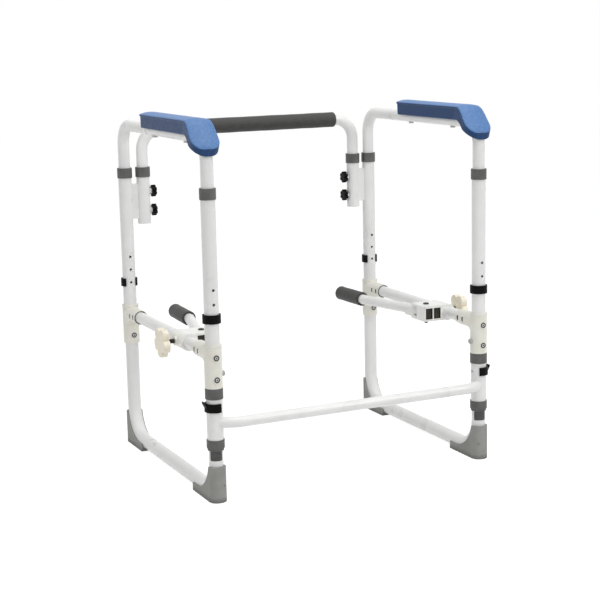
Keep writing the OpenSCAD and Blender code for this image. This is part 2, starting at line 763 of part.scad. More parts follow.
// Socket for one leg of the back bar, with its web against the upright and two welded nuts
module back_socket() {
    color("whitesmoke") difference() {
        union() {
            translate([socket_x, half_y, socket_bottom]) cylinder(d = outer_d, h = socket_len);
            translate([socket_x, half_y - web_t / 2, web_z]) cube([socket_offset, web_t, web_h]);
            for (z = star_z) translate([socket_x, half_y, z]) rotate([0, -90, 0])
                cylinder(d = star_screw_d * 2, h = outer_d / 2 + weld_nut_t, $fn = 6);
        }
        translate([side_x, half_y, web_z - over]) cylinder(d = bore_d, h = web_h + 2 * over);
        translate([socket_x, half_y, socket_bottom - over])
            cylinder(d = outer_d - 2 * tube_wall, h = socket_len + 2 * over);
        for (z = star_z) translate([socket_x, half_y, z])
            rod_x(star_screw_d + 2 * turn_fit, -outer_d, 0);
    }
}

// Back bar: an upside-down U across the frame whose legs slide in the sockets
module back_bar() {
    leg_end = socket_bottom + 6;
    color("whitesmoke") translate([0, half_y, back_z]) rotate([0, 0, 90]) mirror([0, 0, 1])
        u_tube(inner_d, tube_wall, socket_x, back_z - leg_end, back_bend_r);
}

// Foam sleeve on the back bar
module back_foam() {
    d = inner_d + 2 * push_fit;
    color("darkslategray") translate([0, half_y, back_z]) difference() {
        translate([-back_foam_len / 2, 0, 0]) rotate([0, 90, 0])
            soft_disc(d + 2 * back_foam_t, back_foam_len, 2);
        rod_x(d, -back_foam_len / 2 - over, back_foam_len / 2 + over);
    }
}

// Star knob with its screw, turning in a welded nut
module star_knob(z) {
    face = outer_d / 2 + weld_nut_t + slide_fit;
    color("black") translate([socket_x, half_y, z]) rotate([0, -90, 0]) {
        translate([0, 0, face]) lobed_knob(star_d, star_t, 6, star_d * 0.29, 1.5);
        translate([0, 0, inner_d / 2 + slide_fit])
            cylinder(d = star_screw_d, h = face - inner_d / 2);
    }
}

module upper_star_knob() {
    star_knob(star_z[0]);
}

module lower_star_knob() {
    star_knob(star_z[1]);
}

// Side clamps

// Moulded block that slides on the rail and houses the swing arm's pivot
module clamp_block() {
    front = -block_len / 2;
    pocket_w = (block_in - hood_d / 2 - 2 * block_wall) / 2;
    pocket_h = block_h - 3.2 * block_wall;
    floor_t = (block_h - swing_gap) / 2;
    tongue_w = bar_d + 1;
    tongue_y = block_len / 2 + tongue_len - tongue_w / 2;
    color("antiquewhite") translate([side_x, block_y, rail_height]) difference() {
        union() {
            rod_y(hood_d, front, block_len / 2);
            translate([-block_in, front, -block_h / 2]) cube([block_in - 3, block_len, block_h]);
            rod_x(stud_d * 2, 0, boss_x);
            translate([-pivot_offset - tongue_w / 2, 0, -block_h / 2]) cube([tongue_w, tongue_y, floor_t]);
            translate([-pivot_offset, tongue_y, -block_h / 2]) cylinder(d = tongue_w, h = floor_t);
        }
        rod_y(inner_d + 2 * slide_fit, front - over, block_len / 2 + over);
        translate([-cavity_in, -cavity_front, -swing_gap / 2])
            cube([cavity_in - cavity_out, block_len, swing_gap]);
        translate([-block_in - over, 2 * block_wall, -swing_gap / 2])
            cube([block_in - cavity_out, block_len, swing_gap]);
        for (i = [0, 1]) translate([block_wall - block_in + i * (pocket_w + block_wall), front - over,
            -pocket_h / 2])
            cube([pocket_w, pocket_depth + over, pocket_h]);
        translate([-pivot_offset, 0, -block_h]) cylinder(d = pivot_d + 2 * push_fit, h = 2 * block_h);
        rod_x(stud_d + 2 * turn_fit, 0, boss_x + over);
    }
}

// Pivot bolt with its low head on top and its nut below
module clamp_pivot() {
    head_h = pivot_d * 0.4;
    nut_h = pivot_d * 0.7;
    tail = pivot_d * 0.6;
    color("dimgray") translate([side_x - pivot_offset, block_y, rail_height]) {
        difference() {
            union() {
                translate([0, 0, block_h / 2]) soft_disc(pivot_d * 1.8, head_h, 0.6);
                translate([0, 0, -block_h / 2 - nut_h - tail])
                    cylinder(d = pivot_d, h = block_h + nut_h + tail + eps);
            }
            translate([0, 0, block_h / 2 + head_h * 0.3])
                cylinder(d = pivot_d * 0.8, h = head_h, $fn = 6);
        }
        translate([0, 0, -block_h / 2 - nut_h]) difference() {
            cylinder(d = pivot_d * 1.8, h = nut_h, $fn = 6);
            translate([0, 0, -over]) cylinder(d = pivot_d + 2 * push_fit, h = nut_h + 2 * over);
        }
    }
}

// Puts a piece that is drawn along +Y from the pivot at the swing arm's rest angle
module at_pivot() {
    translate([side_x - pivot_offset, block_y, rail_height]) rotate([0, 0, swing_angle]) children();
}

// Puts a piece that is drawn along +Y beyond the swing arm's bend
module at_bend() {
    translate([0, swing_len, 0]) rotate([0, 0, -swing_bend]) children();
}

// A rod along the swing arm's two straights, from its heel to the given distance beyond the bend
module swing_rod(d, heel, reach) {
    rod_y(d, -heel, swing_len);
    translate([0, swing_len, 0]) sphere(d = d + 2 * bend_swell);
    at_bend() rod_y(d, 0, reach);
}

// Swing arm: a bent tube drilled for the pivot bolt and closed at its far end
module swing_arm() {
    color("whitesmoke") at_pivot() difference() {
        swing_rod(bar_d, swing_heel, roller_back + roller_len);
        swing_rod(bar_d - 2 * tube_wall, swing_heel + over, roller_back + roller_len - block_wall);
        translate([0, 0, -bar_d]) cylinder(d = pivot_d + 2 * turn_fit, h = 2 * bar_d);
    }
}

// Foam roller on the far end of the swing arm
module clamp_roller() {
    d = bar_d + 2 * push_fit;
    color("darkslategray") at_pivot() at_bend() difference() {
        translate([0, roller_back, 0]) rotate([-90, 0, 0]) soft_disc(d + 2 * roller_t, roller_len, 1.5);
        rod_y(d, 0, roller_back + roller_len + over);
    }
}

stud_end = knob_x + clamp_hub_h + clamp_knob_t * 0.6;

// Lobed hand knob on the outer side of the block
module clamp_knob() {
    color("antiquewhite") translate([side_x, block_y, rail_height]) difference() {
        union() {
            rod_x(stud_d * 2.2, knob_x, knob_x + clamp_hub_h + over);
            translate([knob_x + clamp_hub_h, 0, 0]) rotate([0, 90, 0])
                lobed_knob(clamp_knob_d, clamp_knob_t, 5, clamp_knob_d * 0.4, 3);
        }
        rod_x(stud_d + 2 * push_fit, knob_x - over, stud_end + push_fit);
    }
}

// Threaded stud that the clamp knob drives against the rail
module clamp_stud() {
    color("black") translate([side_x, block_y, rail_height])
        rod_x(stud_d, inner_d / 2 + slide_fit, stud_end);
}

on_side("left") lower_frame();  // left_lower_frame
on_side("right") lower_frame();  // right_lower_frame
on_side("left") front_boot();  // left_front_boot
on_side("right") front_boot();  // right_front_boot
on_side("left") rear_boot();  // left_rear_boot
on_side("right") rear_boot();  // right_rear_boot
on_side("left") front_tee();  // left_front_tee
on_side("right") front_tee();  // right_front_tee
on_side("left") rear_tee();  // left_rear_tee
on_side("right") rear_tee();  // right_rear_tee
on_side("left") tee_screws();  // left_tee_screws
on_side("right") tee_screws();  // right_tee_screws
on_side("left") front_upright();  // left_front_upright
on_side("right") front_upright();  // right_front_upright
on_side("left") rear_upright();  // left_rear_upright
on_side("right") rear_upright();  // right_rear_upright
on_side("left") back_socket();  // left_back_socket
on_side("right") back_socket();  // right_back_socket
on_side("left") side_rail();  // left_side_rail
on_side("right") side_rail();  // right_side_rail
on_side("left") rail_bushes();  // left_rail_bushes
on_side("right") rail_bushes();  // right_rail_bushes
on_side("left") collars();  // left_collars
on_side("right") collars();  // right_collars
on_side("left") height_clips();  // left_height_clips
on_side("right") height_clips();  // right_height_clips
on_side("right") front_crossbar();
on_side("left") crossbar_sleeve();  // left_crossbar_sleeve
on_side("right") crossbar_sleeve();  // right_crossbar_sleeve
on_side("left") sleeve_top_collar();  // left_sleeve_top_collar
on_side("right") sleeve_top_collar();  // right_sleeve_top_collar
on_side("left") sleeve_bottom_collar();  // left_sleeve_bottom_collar
on_side("right") sleeve_bottom_collar();  // right_sleeve_bottom_collar
on_side("left") sleeve_clip();  // left_sleeve_clip
on_side("right") sleeve_clip();  // right_sleeve_clip
on_side("left") arm_tube();  // left_arm_tube
on_side("right") arm_tube();  // right_arm_tube
on_side("left") arm_pad();  // left_arm_pad
on_side("right") arm_pad();  // right_arm_pad
on_side("left") pad_screws();  // left_pad_screws
on_side("right") pad_screws();  // right_pad_screws
on_side("right") back_bar();
on_side("right") back_foam();
on_side("left") upper_star_knob();  // left_upper_star_knob
on_side("right") upper_star_knob();  // right_upper_star_knob
on_side("left") lower_star_knob();  // left_lower_star_knob
on_side("right") lower_star_knob();  // right_lower_star_knob
on_side("left") clamp_block();  // left_clamp_block
on_side("right") clamp_block();  // right_clamp_block
on_side("left") clamp_pivot();  // left_clamp_pivot
on_side("right") clamp_pivot();  // right_clamp_pivot
on_side("left") swing_arm();  // left_swing_arm
on_side("right") swing_arm();  // right_swing_arm
on_side("left") clamp_roller();  // left_clamp_roller
on_side("right") clamp_roller();  // right_clamp_roller
on_side("left") clamp_knob();  // left_clamp_knob
on_side("right") clamp_knob();  // right_clamp_knob
on_side("left") clamp_stud();  // left_clamp_stud
on_side("right") clamp_stud();  // right_clamp_stud
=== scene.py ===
import math

import bmesh
import bpy
from mathutils import Matrix, Vector


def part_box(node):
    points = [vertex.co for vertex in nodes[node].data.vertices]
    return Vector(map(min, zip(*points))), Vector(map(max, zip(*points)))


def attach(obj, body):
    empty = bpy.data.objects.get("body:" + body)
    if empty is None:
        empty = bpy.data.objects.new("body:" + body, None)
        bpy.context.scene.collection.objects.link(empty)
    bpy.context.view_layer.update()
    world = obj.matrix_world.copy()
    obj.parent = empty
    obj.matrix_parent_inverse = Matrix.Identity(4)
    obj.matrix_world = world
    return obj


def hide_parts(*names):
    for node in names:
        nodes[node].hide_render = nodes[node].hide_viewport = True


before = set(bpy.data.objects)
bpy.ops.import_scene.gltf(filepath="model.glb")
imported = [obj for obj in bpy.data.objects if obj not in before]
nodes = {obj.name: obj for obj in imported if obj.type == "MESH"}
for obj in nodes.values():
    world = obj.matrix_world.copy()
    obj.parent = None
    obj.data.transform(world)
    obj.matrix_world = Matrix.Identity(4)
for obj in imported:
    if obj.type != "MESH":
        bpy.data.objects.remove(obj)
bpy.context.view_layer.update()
bpy.context.scene.view_settings.view_transform = "Standard"


# White tubes: floor frames, uprights, back sockets, rails, crossbar, arms, back bar and swing arms.
# Steel tube, cut, drilled, bent cold and welded, then powder-coated white in one go, so that holes
# and weld seams are coated as well; the cured powder leaves a faint orange peel.
def new_finish(name, colour, roughness, specular=0.5):
    """A material with one principled shader; returns the material, its node tree and the shader."""
    finish = bpy.data.materials.new(name)
    finish.use_nodes = True
    tree = finish.node_tree
    shader = tree.nodes["Principled BSDF"]
    shader.inputs["Base Color"].default_value = (*colour, 1)
    shader.inputs["Roughness"].default_value = roughness
    shader.inputs["Specular IOR Level"].default_value = specular
    return finish, tree, shader


def add_grain(tree, shader, size, height, detail=3.0):
    """A fine moulded or sprayed grain: noise of the given size in metres, as bump."""
    place = tree.nodes.new("ShaderNodeTexCoord")
    noise = tree.nodes.new("ShaderNodeTexNoise")
    noise.inputs["Scale"].default_value = 1 / size
    noise.inputs["Detail"].default_value = detail
    bump = tree.nodes.new("ShaderNodeBump")
    bump.inputs["Strength"].default_value = 1.0
    bump.inputs["Distance"].default_value = height
    tree.links.new(place.outputs["Object"], noise.inputs["Vector"])
    tree.links.new(noise.outputs["Fac"], bump.inputs["Height"])
    tree.links.new(bump.outputs["Normal"], shader.inputs["Normal"])
    return place


def add_mottle(tree, shader, place, size, dark, light, rough):
    """Slow change of colour and roughness over a surface, from handling and moulding."""
    noise = tree.nodes.new("ShaderNodeTexNoise")
    noise.inputs["Scale"].default_value = 1 / size
    noise.inputs["Detail"].default_value = 4.0
    ramp = tree.nodes.new("ShaderNodeValToRGB")
    ramp.color_ramp.elements[0].position = 0.32
    ramp.color_ramp.elements[0].color = (*dark, 1)
    ramp.color_ramp.elements[1].position = 0.68
    ramp.color_ramp.elements[1].color = (*light, 1)
    spread = tree.nodes.new("ShaderNodeMapRange")
    spread.inputs["From Min"].default_value = 0.3
    spread.inputs["From Max"].default_value = 0.7
    spread.inputs["To Min"].default_value = rough[0]
    spread.inputs["To Max"].default_value = rough[1]
    tree.links.new(place.outputs["Object"], noise.inputs["Vector"])
    tree.links.new(noise.outputs["Fac"], ramp.inputs["Fac"])
    tree.links.new(ramp.outputs["Color"], shader.inputs["Base Color"])
    tree.links.new(noise.outputs["Fac"], spread.inputs["Value"])
    tree.links.new(spread.outputs["Result"], shader.inputs["Roughness"])


def finish_nodes(finish, *names):
    """Gives CAD nodes that stay in view a finish."""
    for name in names:
        node = nodes[name]
        if not node.material_slots:
            node.data.materials.append(finish)
        for slot in node.material_slots:
            slot.material = finish


sides = {"left": -1, "right": 1}  # each side with its direction along X


def both_sides(*names):
    """The names of the left and the right one of each piece."""
    return [side + "_" + name for name in names for side in sides]


powder_coat, tree, shader = new_finish("white_powder_coat", (0.83, 0.83, 0.82), roughness=0.30)
place = add_grain(tree, shader, size=0.0016, height=0.000008)
add_mottle(tree, shader, place, size=0.05, dark=(0.805, 0.805, 0.795),
           light=(0.855, 0.855, 0.845), rough=(0.26, 0.36))
finish_nodes(powder_coat, "front_crossbar", "back_bar", *both_sides(
    "lower_frame", "front_upright", "rear_upright", "back_socket", "side_rail",
    "crossbar_sleeve", "arm_tube", "swing_arm"))


# Boots: four open channels that wrap the bends of the floor tubes and stand on the floor.
# Mid-grey rubber, moulded with a matt grain and a treaded sole, pushed on and held by its grip.
# Edges are rubbed pale by hands and shoes, and the lowest band is darkened towards the floor.
def lay_over(tree, shader, share, colour):
    """Lays one more colour over a finish, by a share from 0 to 1."""
    blend = tree.nodes.new("ShaderNodeMix")
    blend.data_type = "RGBA"
    # A mix node keeps its share in socket 0, its two colours in 6 and 7, and its result in 2.
    below = shader.inputs["Base Color"].links[0].from_socket
    tree.links.new(share, blend.inputs[0])
    tree.links.new(below, blend.inputs[6])
    blend.inputs[7].default_value = (*colour, 1)
    tree.links.new(blend.outputs[2], shader.inputs["Base Color"])


def wear_and_highlight_edges(tree, shader, width, colour, share):
    """Lays a colour in a narrow line along the edges: rubbed wear on most finishes, and a painted
    highlight on the pad's brow and the pocket trays' ribs.
    """
    bevel = tree.nodes.new("ShaderNodeBevel")
    bevel.samples = 6
    bevel.inputs["Radius"].default_value = width
    skin = tree.nodes.new("ShaderNodeNewGeometry")
    turn = tree.nodes.new("ShaderNodeVectorMath")
    turn.operation = "DOT_PRODUCT"
    edge = tree.nodes.new("ShaderNodeMapRange")
    edge.inputs["From Min"].default_value = 0.985
    edge.inputs["From Max"].default_value = 0.82
    edge.inputs["To Max"].default_value = share
    tree.links.new(bevel.outputs["Normal"], turn.inputs[0])
    tree.links.new(skin.outputs["Normal"], turn.inputs[1])
    tree.links.new(turn.outputs["Value"], edge.inputs["Value"])
    lay_over(tree, shader, edge.outputs["Result"], colour)


boot_rubber, tree, shader = new_finish("grey_boot_rubber", (0.31, 0.31, 0.295),
                                       roughness=0.72, specular=0.3)
place = add_grain(tree, shader, size=0.0007, height=0.00005)
add_mottle(tree, shader, place, size=0.03, dark=(0.285, 0.285, 0.27),
           light=(0.335, 0.335, 0.32), rough=(0.64, 0.80))
# The lowest band of each boot is darkened towards the floor.
dark_foot_h, dark_foot_share = 0.012, 0.65
height = tree.nodes.new("ShaderNodeSeparateXYZ")
foot_darkening = tree.nodes.new("ShaderNodeMapRange")
foot_darkening.interpolation_type = "SMOOTHSTEP"
foot_darkening.inputs["From Min"].default_value = dark_foot_h
foot_darkening.inputs["From Max"].default_value = 0.0
foot_darkening.inputs["To Max"].default_value = dark_foot_share
tree.links.new(place.outputs["Object"], height.inputs["Vector"])
tree.links.new(height.outputs["Z"], foot_darkening.inputs["Value"])
wear_and_highlight_edges(tree, shader, width=0.0012, colour=(0.40, 0.40, 0.38), share=0.6)
lay_over(tree, shader, foot_darkening.outputs["Result"], (0.11, 0.11, 0.10))
finish_nodes(boot_rubber, *both_sides("front_boot", "rear_boot"))


# Tees: four moulded fittings that join lower leg, upright and side rail at each corner.
# Injection-moulded ivory plastic with a satin skin, pushed over the tubes up to a stop ring inside
# and screwed; faint flow marks run through it and the edges are polished by use.
def let_light_in(shader):
    """Pale plastic: a little light sinks in and comes out warmer."""
    shader.inputs["Subsurface Weight"].default_value = 0.05
    shader.inputs["Subsurface Radius"].default_value = (0.004, 0.003, 0.002)


ivory, tree, shader = new_finish("ivory_moulding", (0.83, 0.815, 0.735), roughness=0.38)
place = add_grain(tree, shader, size=0.0010, height=0.000015)
add_mottle(tree, shader, place, size=0.022, dark=(0.80, 0.785, 0.70),
           light=(0.855, 0.84, 0.765), rough=(0.32, 0.46))
wear_and_highlight_edges(tree, shader, width=0.0008, colour=(0.88, 0.87, 0.82), share=0.5)
let_light_in(shader)
finish_nodes(ivory, *both_sides("front_tee", "rear_tee"))


# Tee screws and cap nuts: they pin each tee to the tubes inside it.
# Zinc-plated steel; the outer ring of each head is blackened, its domed middle is bare and pale,
# and the drive hole in the middle is painted dark as its shade. The colours lie in rings about each
# screw's own axis.
def worked(tree, kind, first, second=None):
    """One step of arithmetic on a number in a finish."""
    step = tree.nodes.new("ShaderNodeMath")
    step.operation = kind
    for socket, value in zip(step.inputs, (first, second)):
        if isinstance(value, float):
            socket.default_value = value
        elif value is not None:
            tree.links.new(value, socket)
    return step.outputs["Value"]


side_x = 0.265
screw_lift, screw_gap = 0.016, 0.038
drive_shade_r, ring_r, head_r, reach = 0.0012, 0.0032, 0.0051, 0.010
hole_edge, dome_edge, head_edge = 0.0003, 0.0004, 0.0003
screw_zinc, tree, shader = new_finish("ringed_screw", (0.55, 0.56, 0.57),
                                      roughness=0.40, specular=0.25)
place = add_grain(tree, shader, size=0.0008, height=0.00001)
apart = tree.nodes.new("ShaderNodeSeparateXYZ")
tree.links.new(place.outputs["Object"], apart.inputs["Vector"])
lowest_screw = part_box("right_front_tee")[0].z + screw_lift
out = worked(tree, "SUBTRACT", worked(tree, "ABSOLUTE", apart.outputs["X"]), side_x)
above = worked(tree, "SUBTRACT", apart.outputs["Z"], lowest_screw - screw_gap / 2)
turns = worked(tree, "FRACT", worked(tree, "DIVIDE", above, screw_gap))
up = worked(tree, "MULTIPLY", worked(tree, "SUBTRACT", turns, 0.5), screw_gap)
from_axis = worked(tree, "SQRT", worked(
    tree, "ADD", worked(tree, "MULTIPLY", out, out), worked(tree, "MULTIPLY", up, up)))
rings = tree.nodes.new("ShaderNodeValToRGB")
stops = rings.color_ramp.elements
# The darkest middle ring is painted shade in the drive hole.
stops[0].position, stops[0].color = drive_shade_r / reach, (0.03, 0.03, 0.03, 1)
stops[1].position, stops[1].color = 1.0, (0.42, 0.42, 0.41, 1)
for r, tone in ((drive_shade_r + hole_edge, 0.72), (ring_r - dome_edge, 0.70), (ring_r, 0.045),
                (head_r, 0.045), (head_r + head_edge, 0.42)):
    stop = stops.new(r / reach)
    stop.color = (tone, tone, tone * 0.98, 1)
tree.links.new(worked(tree, "DIVIDE", from_axis, reach), rings.inputs["Fac"])
tree.links.new(rings.outputs["Color"], shader.inputs["Base Color"])
finish_nodes(screw_zinc, *both_sides("tee_screws"))


# Rail bushes, spring clips and star knobs: the small black fittings.
# Black nylon, moulded with a fine spark-eroded grain; the clips grip the tubes with a peg, and the
# knobs screw into nuts.
# The bushes pressed into the tees, and the dark films laid in the tees' windows, are painted shade
# of the hollow tees.
def close_plate(mesh, layers):
    """Fills two like grids of points and joins them round their rims, into one closed plate."""
    for grid in layers:
        for low, high in zip(grid, grid[1:]):
            for k in range(len(low) - 1):
                mesh.faces.new((low[k], low[k + 1], high[k + 1], high[k]))
    inner, outer = [grid[0] + [row[-1] for row in grid[1:]] + grid[-1][-2::-1]
                    + [row[0] for row in grid[-2:0:-1]] for grid in layers]
    for k in range(len(inner)):
        n = (k + 1) % len(inner)
        mesh.faces.new((inner[k], inner[n], outer[n], outer[k]))


def add_film(mesh, place, inner_r, film, ends, facing, half_turn, corner_r, rows=24, columns=36):
    """Adds a plate bent about its own Z axis, with rounded corners, to a mesh."""
    low, high = ends
    layers = []
    for r in (inner_r, inner_r + film):
        grid = []
        for i in range(rows + 1):
            h = low + (high - low) * (1 - math.cos(math.pi * i / rows)) / 2
            into = max(0.0, corner_r - min(h - low, high - h)) / corner_r
            reach = half_turn - corner_r / inner_r * (1 - math.sqrt(max(0.0, 1 - into * into)))
            turns = [facing + reach * (2 * k / columns - 1) for k in range(columns + 1)]
            grid.append([mesh.verts.new(place @ Vector((r * math.cos(a), r * math.sin(a), h)))
                         for a in turns])
        layers.append(grid)
    close_plate(mesh, layers)


def smooth_over(data, sharp=50):
    """Shades a mesh smooth, but for edges that turn by more than the given degrees."""
    data.shade_smooth()
    data.set_sharp_from_angle(angle=math.radians(sharp))


def as_piece(name, mesh, sharp=50):
    """Turns a built mesh into a piece with a smooth, outward skin."""
    bmesh.ops.recalc_face_normals(mesh, faces=mesh.faces)
    data = bpy.data.meshes.new(name)
    mesh.to_mesh(data)
    mesh.free()
    smooth_over(data, sharp)
    piece = bpy.data.objects.new(name, data)
    bpy.context.scene.collection.objects.link(piece)
    return piece


black_nylon, tree, shader = new_finish("black_nylon", (0.004, 0.004, 0.004),
                                       roughness=0.42, specular=0.06)
place = add_grain(tree, shader, size=0.0006, height=0.00003)
add_mottle(tree, shader, place, size=0.012, dark=(0.003, 0.003, 0.003),
           light=(0.006, 0.006, 0.006), rough=(0.36, 0.52))
wear_and_highlight_edges(tree, shader, width=0.0006, colour=(0.020, 0.020, 0.020), share=0.7)
finish_nodes(black_nylon, *both_sides(
    "rail_bushes", "height_clips", "sleeve_clip", "upper_star_knob", "lower_star_knob"))

bush_r, film_gap = 0.0127, 0.00003
# Dark films laid in each tee's two windows: painted shade of the hollow tee behind them.
shade_film_deep, shade_film_w, shade_film_corner, shade_film_turn = 0.0010, 0.0047, 0.0008, math.radians(18)
window_places = (0.035, 0.052)
for side in sides:
    rail_low, rail_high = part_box(side + "_side_rail")
    rail = (rail_low + rail_high) / 2
    mesh = bmesh.new()
    for end, way in (("front", 1), ("rear", -1)):
        leg_low, leg_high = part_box(side + "_" + end + "_upright")
        leg = (leg_low.y + leg_high.y) / 2
        for from_leg in window_places:
            along = (Matrix.Translation((rail.x, leg + way * from_leg, rail.z))
                     @ Matrix.Rotation(math.pi / 2, 4, "X"))
            for facing in (0.0, math.pi):
                add_film(mesh, along, bush_r + film_gap, shade_film_deep, (-shade_film_w / 2, shade_film_w / 2),
                         facing, shade_film_turn, shade_film_corner, rows=10, columns=10)
    window_shade = as_piece(side + "_window_shades", mesh)
    window_shade.data.materials.append(black_nylon)
    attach(window_shade, "frame")


# Collars: bands on the open tube ends and at both ends of the crossbar sleeves.
# Dark grey plastic, moulded with a lip that guides the inner tube, and pressed on.
collar_grey, tree, shader = new_finish("dark_grey_collar", (0.105, 0.105, 0.10),
                                       roughness=0.50, specular=0.4)
place = add_grain(tree, shader, size=0.0009, height=0.00003)
add_mottle(tree, shader, place, size=0.018, dark=(0.085, 0.085, 0.082),
           light=(0.125, 0.125, 0.120), rough=(0.44, 0.58))
wear_and_highlight_edges(tree, shader, width=0.0007, colour=(0.17, 0.17, 0.165), share=0.6)
finish_nodes(collar_grey, *both_sides("collars", "sleeve_top_collar", "sleeve_bottom_collar"))


# Leg patches: one plain dark patch on each front leg, between the lower sleeve collar and the boot.
# Thin vinyl film with rounded corners, stuck round the front of the tube and left without marking.
dark_film, tree, shader = new_finish("dark_patch_film", (0.045, 0.045, 0.045), roughness=0.40)
place = add_grain(tree, shader, size=0.0030, height=0.00002)
add_mottle(tree, shader, place, size=0.010, dark=(0.035, 0.035, 0.035),
           light=(0.060, 0.060, 0.060), rough=(0.32, 0.48))
leg_r, patch_film, patch_low, patch_gap, patch_corner = 0.0127, 0.00027, 0.0745, 0.0004, 0.002
patch_facing, patch_turn = math.radians(-110), math.radians(51)
for side in sides:
    collar_low, collar_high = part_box(side + "_sleeve_bottom_collar")
    leg = (collar_low + collar_high) / 2
    mesh = bmesh.new()
    add_film(mesh, Matrix.Translation((leg.x, leg.y, 0)), leg_r + film_gap, patch_film,
             (patch_low, collar_low.z - patch_gap), patch_facing, patch_turn, patch_corner)
    patch = as_piece(side + "_leg_patch", mesh)
    patch.data.materials.append(dark_film)
    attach(patch, "frame")


# Arm pads: long moulded rests that sit over the arm tubes and bend down over the front bends.
# Self-skinned polyurethane foam with a fine leather-like grain: a blue cap that stands proud of the
# sides, with a groove below for the tube. The sides are painted a darker navy as painted shade
# under the cap, and the cap's brow carries a painted highlight. Two screws hold each pad from under
# the tube.
arm_z, leg_y, bend_r, arm_tube_r = 0.627, 0.2135, 0.040, 0.0111
pad_rear, pad_front = 0.0560, -0.2265
pad_knee, skirt_knee = -0.1855, -0.1815
pad_top, pad_low, nose_low = arm_z + 0.031, arm_z + 0.003, arm_z - 0.030
pad_w, nose_w, knee_back, nose_back = 0.044, 0.052, 0.028, 0.050
nose_round, nose_share, rear_round, rear_share = 0.0215, 0.993, 0.005, 0.97
nose_slope, knee_soft, skirt_soft = math.radians(48), 0.013, 0.014
nose_lean, lean_start, lean_len = 0.0161, 0.045, 0.055
crown_h, brow_r, cap_h, cap_out, foot_r = 0.003, 0.003, 0.006, 0.0018, 0.0015
cap_lip, under_share, brow_share, crown_share = 0.0002, 0.55, 0.8, 0.9
tip_len, tip_drop, end_share = 0.0045, 0.0036, 0.06
groove_gap, past_rear, past_nose = 0.00005, 0.02, 0.03
rear_steps, body_steps, nose_steps, bend_steps, hoop_points = 16, 24, 88, 24, 48
thinnest_edge = 0.000005


def ease(t):
    """Goes from 0 to 1 with a level start and end."""
    t = min(1.0, max(0.0, t))
    return t * t * (3 - 2 * t)


def soft_min(a, b, k):
    """The lower of two heights, with the corner between them rounded over about k."""
    h = min(1.0, max(0.0, 0.5 + 0.5 * (b - a) / k))
    return b * (1 - h) + a * h - k * h * (1 - h)


def quarter_fall(t):
    """How far a quarter circle has fallen, from 0 at its level end to 1 at its upright end."""
    t = min(1.0, max(0.0, t))
    return 1 - math.sqrt(1 - t * t)


round_start = pad_front + nose_round * math.cos(nose_slope)


def pad_top_at(y):
    """Height of the top line: level, then down the slope of the nose."""
    return soft_min(pad_top, pad_top + (y - pad_knee) * math.tan(nose_slope), knee_soft)


def pad_low_at(y):
    """Height of the lower edge, which follows the top line down the nose."""
    return soft_min(pad_low, pad_low + (y - skirt_knee) * math.tan(nose_slope), skirt_soft)


def pad_half_at(y):
    """Half the width: wider at the nose, and rounded in plan at both ends."""
    w = pad_w + (nose_w - pad_w) * ease((pad_knee + knee_back - y) / (2 * knee_back))
    front = (round_start - y) / (round_start - pad_front)
    rear = (y - pad_rear + rear_round) / rear_round
    return (w / 2 - nose_round * quarter_fall(front * nose_share)
            - rear_round * quarter_fall(rear * rear_share))


def pad_foot_at(y):
    """Where the foot of a ring lies: square to the top line down to the nose, whose lower edge
    then curves round to the tip."""
    if y > round_start:
        lean = (nose_lean + cap_out) * ease((pad_knee + lean_start - y) / lean_len) - cap_out
        return y + lean, pad_low_at(y + lean)
    share = (round_start - y) / (round_start - pad_front)
    side_drop = pad_top_at(round_start) - pad_low_at(round_start + nose_lean)
    whole_drop = pad_top_at(pad_front) - nose_low
    drop = side_drop + (whole_drop - side_drop) * share
    return y + nose_lean * (1 - share), pad_top_at(y) - drop


def pad_ring(y):
    """One ring across the pad: flat foot, side painted navy as shade, overhanging cap with a round
    brow, crowned top. Returns the ring's points, and the places in it where the cap begins and
    ends."""
    at_rear = quarter_fall(1 - (pad_rear - y) / brow_r)
    at_tip = quarter_fall(1 - (y - pad_front) / tip_len)
    full = max(end_share, 1 - at_rear - at_tip)
    w = pad_half_at(y)
    drop = (1 - end_share) * (brow_r * at_rear + tip_drop * at_tip)
    top, cap = pad_top_at(y) - drop, cap_h - drop
    foot_y, foot_z = pad_foot_at(y)
    deep, lean = top - foot_z, foot_y - y
    at_nose = ease((pad_knee - y) / (pad_knee - pad_front))
    wall = w - cap_out * (1 - at_nose)
    crown, brow = crown_h * full, brow_r * full
    half = [((wall - foot_r) * i / 4, deep) for i in range(1, 5)]
    half += [(wall - foot_r + foot_r * math.sin(a), deep - foot_r + foot_r * math.cos(a))
             for a in (math.pi / 2 * i / 4 for i in range(1, 5))]
    under = cap + cap_out
    half += [(wall, deep - foot_r + (under - deep + foot_r) * i / 6) for i in range(1, 7)]
    half += [(wall + (w - wall) / 2, cap + cap_out * under_share), (w - cap_lip, cap + cap_lip)]
    start, edge = crown + brow * brow_share, crown * crown_share
    half += [(w, cap + (start - cap) * i / 2) for i in range(1, 3)]
    first_of_cap = len(half) + 1
    half += [(w - brow_r + brow_r * math.cos(a), start - (start - edge) * math.sin(a))
             for a in (math.pi / 2 * i / 8 for i in range(1, 9))]
    half += [((w - brow_r) * (1 - i / 8), edge * (1 - i / 8) ** 2) for i in range(1, 8)]
    ring = [(0.0, y + lean, top - deep)]
    ring += [(x, y + lean * d / deep, top - d) for x, d in half]
    ring += [(0.0, y, top)]
    ring += [(-x, y + lean * d / deep, top - d) for x, d in reversed(half)]
    return ring, first_of_cap + 1, len(ring) - 1 - first_of_cap


nose_start = pad_knee + nose_back
rear_end = pad_rear - rear_round
stations = [pad_rear - rear_round * (1 - math.cos(math.pi / 2 * i / rear_steps))
            for i in range(rear_steps)]
stations += [rear_end + (nose_start - rear_end) * i / body_steps for i in range(body_steps)]
stations += [nose_start + (pad_front - nose_start) * math.sin(math.pi / 2 * i / nose_steps)
             for i in range(nose_steps + 1)]


